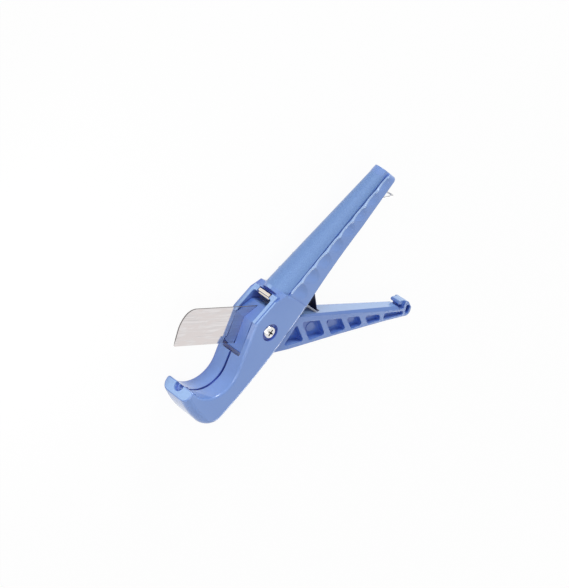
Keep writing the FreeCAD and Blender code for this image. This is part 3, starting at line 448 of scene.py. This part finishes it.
# Profile of a mark: heights over the pocket's floor, and how far it draws in at its top
MARK_HEIGHTS = np.array((-0.2, 0.3, 0.4))
MARK_CHAMFER = np.array((0.0, 0.0, 0.15))
MARK_AROUND = 48


def half_width(x):
    """Half width of the handle, on its straight taper."""
    return np.interp(x, (ROOT_X, END_X), (ROOT_HALF, END_HALF))


def ridge_y(x):
    """Height of the handle's back, a straight slope."""
    return RIDGE_POINT.y - (x - RIDGE_POINT.x) * RIDGE_NORMAL.x / RIDGE_NORMAL.y


def closed_tube(name, rings):
    """Tube through rings of points, shape (rings, points, 3) in mm from the pivot, with a fan as the cap of
    each end."""
    count, around = rings.shape[:2]
    ends = rings[[0, -1]].mean(axis=1)
    points = (np.vstack([rings.reshape(-1, 3), ends]) * MM + PIVOT).tolist()
    j = np.arange(around)
    k = (j + 1) % around
    start = np.arange(count - 1)[:, None] * around
    quads = np.stack([start + j, start + around + j, start + around + k, start + k], axis=-1)
    first_cap = np.stack([np.full(around, count * around), j, k], axis=-1)
    last = (count - 1) * around
    last_cap = np.stack([np.full(around, count * around + 1), last + k, last + j], axis=-1)
    mesh = bpy.data.meshes.new(name)
    mesh.from_pydata(points, [], quads.reshape(-1, 4).tolist() + first_cap.tolist() + last_cap.tolist())
    mesh.shade_smooth()
    piece = bpy.data.objects.new(name, mesh)
    bpy.context.collection.objects.link(piece)
    return piece


def bead(name, side):
    """Bead along one ridge: an ellipse carried along the slope of the back. Its inner edge is straight and
    its outer edge follows the finger dishes, each a parabola that is DISH_DEPTH deep and 2 DISH_HALF long."""
    x = np.linspace(BEAD_FROM, BEAD_TO, BEAD_RINGS)
    centres = DISH_FIRST + DISH_PITCH * np.arange(DISH_COUNT)
    share = np.clip(1 - ((x[:, None] - centres) / DISH_HALF) ** 2, 0, 1).max(axis=1)
    taper = (np.clip((x - BEAD_FROM) / BEAD_FADE_IN, BEAD_TIP, 1)
             * np.clip((BEAD_TO - x) / BEAD_FADE_OUT, BEAD_TIP, 1))
    inner = half_width(x) - BEAD_WIDE
    outer = half_width(x) - DISH_DEPTH * share + OVERHANG_LOW + (OVERHANG_HIGH - OVERHANG_LOW) * (1 - share)
    angle = np.linspace(0, 2 * math.pi, BEAD_AROUND, endpoint=False) * side
    wide = (outer - inner) / 2 * taper
    high = BEAD_HIGH * taper
    y = (ridge_y(x) - BEAD_SUNK)[:, None] + high[:, None] * np.sin(angle)
    z = ((inner + outer) / 2)[:, None] + wide[:, None] * np.cos(angle)
    piece = closed_tube(name, np.stack([np.broadcast_to(x[:, None], y.shape), y, z * side], axis=-1))
    piece.data.materials.append(bead_abs)
    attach(piece, "handle")


def ejector_mark(name, centre, radius):
    """Flat disc that an ejector pin left on a pocket's floor: a profile with a chamfered rim, carried round
    the centre."""
    angle = -np.linspace(0, 2 * math.pi, MARK_AROUND, endpoint=False)
    out = (radius - MARK_CHAMFER)[:, None]
    z = np.broadcast_to((POCKET_FLOOR + MARK_HEIGHTS)[:, None], (len(MARK_HEIGHTS), MARK_AROUND))
    rings = np.stack([centre[0] + out * np.cos(angle), centre[1] + out * np.sin(angle), z], axis=-1)
    piece = closed_tube(name, rings)
    piece.data.shade_flat()
    piece.data.materials.append(lever_abs)
    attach(piece, "lever")


bead("grip_bead_near", 1)
bead("grip_bead_far", -1)
ejector_mark("ejector_mark_first", (18.48, -43.88), 3.8)
ejector_mark("ejector_mark_second", (29.02, -60.27), 3.8)
ejector_mark("ejector_mark_third", (39.03, -76.36), 3.0)

# ---------------------------------------------------------------- floor, light and camera
WHITE = "#ffffff"
PAPER = "#f6f6f6"
# Share of the paper that the camera and reflections see as plain white
PAPER_SHARE = 0.95
# Floor, in metres: half its side, and how far it lies below the tool
FLOOR_HALF = 4.0
FLOOR_BELOW = 0.0002
WORLD_LIGHT = 0.48
# The camera's place is given from the pivot in mm, and its axes in the row frame
CAMERA_AT = (27.55, 1024.60, 928.01)
CAMERA_RIGHT = Vector((0.5571, -0.5559, 0.6171))
CAMERA_BACK = Vector((0.0, 0.7431, 0.6691))
CAMERA_LENS, CAMERA_SENSOR = 122.45, 36.0


def seen_share(tree, share):
    """The given share for camera, glossy and transmission rays, and none for the others."""
    rays = add(tree, "ShaderNodeLightPath")
    direct = add(tree, "ShaderNodeMath", [(rays, "Is Camera Ray"), (rays, "Is Glossy Ray")],
                 operation="MAXIMUM")
    seen = add(tree, "ShaderNodeMath", [(direct, "Value"), (rays, "Is Transmission Ray")],
               operation="MAXIMUM")
    return add(tree, "ShaderNodeMath", [(seen, "Value"), share], operation="MULTIPLY")


def studio_paper():
    """Matt white paper roll. The camera and reflections see it mostly as plain white, with a faint
    shadow."""
    material, tree, mm = new_material("white_studio_paper")
    # Clouds of the pulp, about 17 mm across
    fibre = add(tree, "ShaderNodeTexNoise", {"Vector": (mm, "Vector"), "Scale": 0.06, "Detail": 2.0})
    rough = add(tree, "ShaderNodeMapRange", {"Value": (fibre, "Fac"), "To Min": 0.85, "To Max": 0.95})
    paper = add(tree, "ShaderNodeBsdfPrincipled",
                {"Base Color": linear(PAPER), "Roughness": (rough, "Result"), "Specular IOR Level": 0.0})
    white = add(tree, "ShaderNodeEmission", {"Color": linear(WHITE), "Strength": 1.0})
    mix = add(tree, "ShaderNodeMixShader",
              [(seen_share(tree, PAPER_SHARE), "Value"), (paper, "BSDF"), (white, "Emission")])
    add(tree, "ShaderNodeOutputMaterial", {"Surface": (mix, "Shader")})
    return material


def floor_sheet():
    """Flat square just under the tool."""
    corners = [(-1, -1), (1, -1), (1, 1), (-1, 1)]
    mesh = bpy.data.meshes.new("studio_floor")
    mesh.from_pydata([(x * FLOOR_HALF, y * FLOOR_HALF, -FLOOR_BELOW) for x, y in corners], [], [(0, 1, 2, 3)])
    floor = bpy.data.objects.new("studio_floor", mesh)
    bpy.context.collection.objects.link(floor)
    mesh.materials.append(studio_paper())


def studio_world():
    """White surround: plain white to the camera and in reflections, and dimmer as a light on matt
    surfaces."""
    world = bpy.data.worlds.new("studio")
    world.use_nodes = True
    bpy.context.scene.world = world
    tree = world.node_tree
    tree.nodes.clear()
    dim = add(tree, "ShaderNodeBackground", {"Color": linear(WHITE), "Strength": WORLD_LIGHT})
    white = add(tree, "ShaderNodeBackground", {"Color": linear(WHITE), "Strength": 1.0})
    mix = add(tree, "ShaderNodeMixShader",
              [(seen_share(tree, 1.0), "Value"), (dim, "Background"), (white, "Background")])
    add(tree, "ShaderNodeOutputWorld", {"Surface": (mix, "Shader")})


def softbox(name, toward, distance, width, power, only_gloss=False):
    """Square area lamp that looks at the middle of the row frame from the direction toward, sizes in metres;
    only_gloss makes it a reflector panel that shows in polished edges and adds nothing to matt surfaces."""
    lamp = bpy.data.lights.new(name, "AREA")
    lamp.shape = "SQUARE"
    lamp.size = width
    lamp.energy = power
    holder = bpy.data.objects.new(name, lamp)
    way = Vector(toward).normalized()
    holder.location = way * distance
    holder.rotation_euler = way.to_track_quat("Z", "Y").to_euler()
    holder.visible_diffuse = not only_gloss
    bpy.context.collection.objects.link(holder)


def set_camera():
    """Camera at CAMERA_AT, its right axis made square to the way it looks."""
    data = bpy.data.cameras.new("camera")
    data.lens = CAMERA_LENS
    data.sensor_width = CAMERA_SENSOR
    camera = bpy.data.objects.new("camera", data)
    bpy.context.collection.objects.link(camera)
    right = (CAMERA_RIGHT - CAMERA_BACK * CAMERA_RIGHT.dot(CAMERA_BACK)).normalized()
    turn = Matrix((right, CAMERA_BACK.cross(right), CAMERA_BACK)).transposed()
    camera.matrix_world = Matrix.Translation(place(*CAMERA_AT)) @ turn.to_4x4()
    bpy.context.scene.camera = camera


floor_sheet()
studio_world()
softbox("key_softbox", (0.85, 0.42, 0.32), distance=1.3, width=0.4, power=7.5)
softbox("jaw_softbox", (-0.40, 0.85, 0.42), distance=0.3, width=0.14, power=0.18)
softbox("under_softbox", (-0.10, -0.90, 0.40), distance=1.3, width=0.5, power=3.0)
softbox("top_softbox", (-0.35, 0.05, 0.9), distance=1.5, width=0.6, power=2.2)
softbox("edge_panel", (0.28, 0.75, 0.60), distance=1.8, width=2.6, power=8.0, only_gloss=True)
set_camera()
bpy.context.scene.view_settings.view_transform = "Standard"
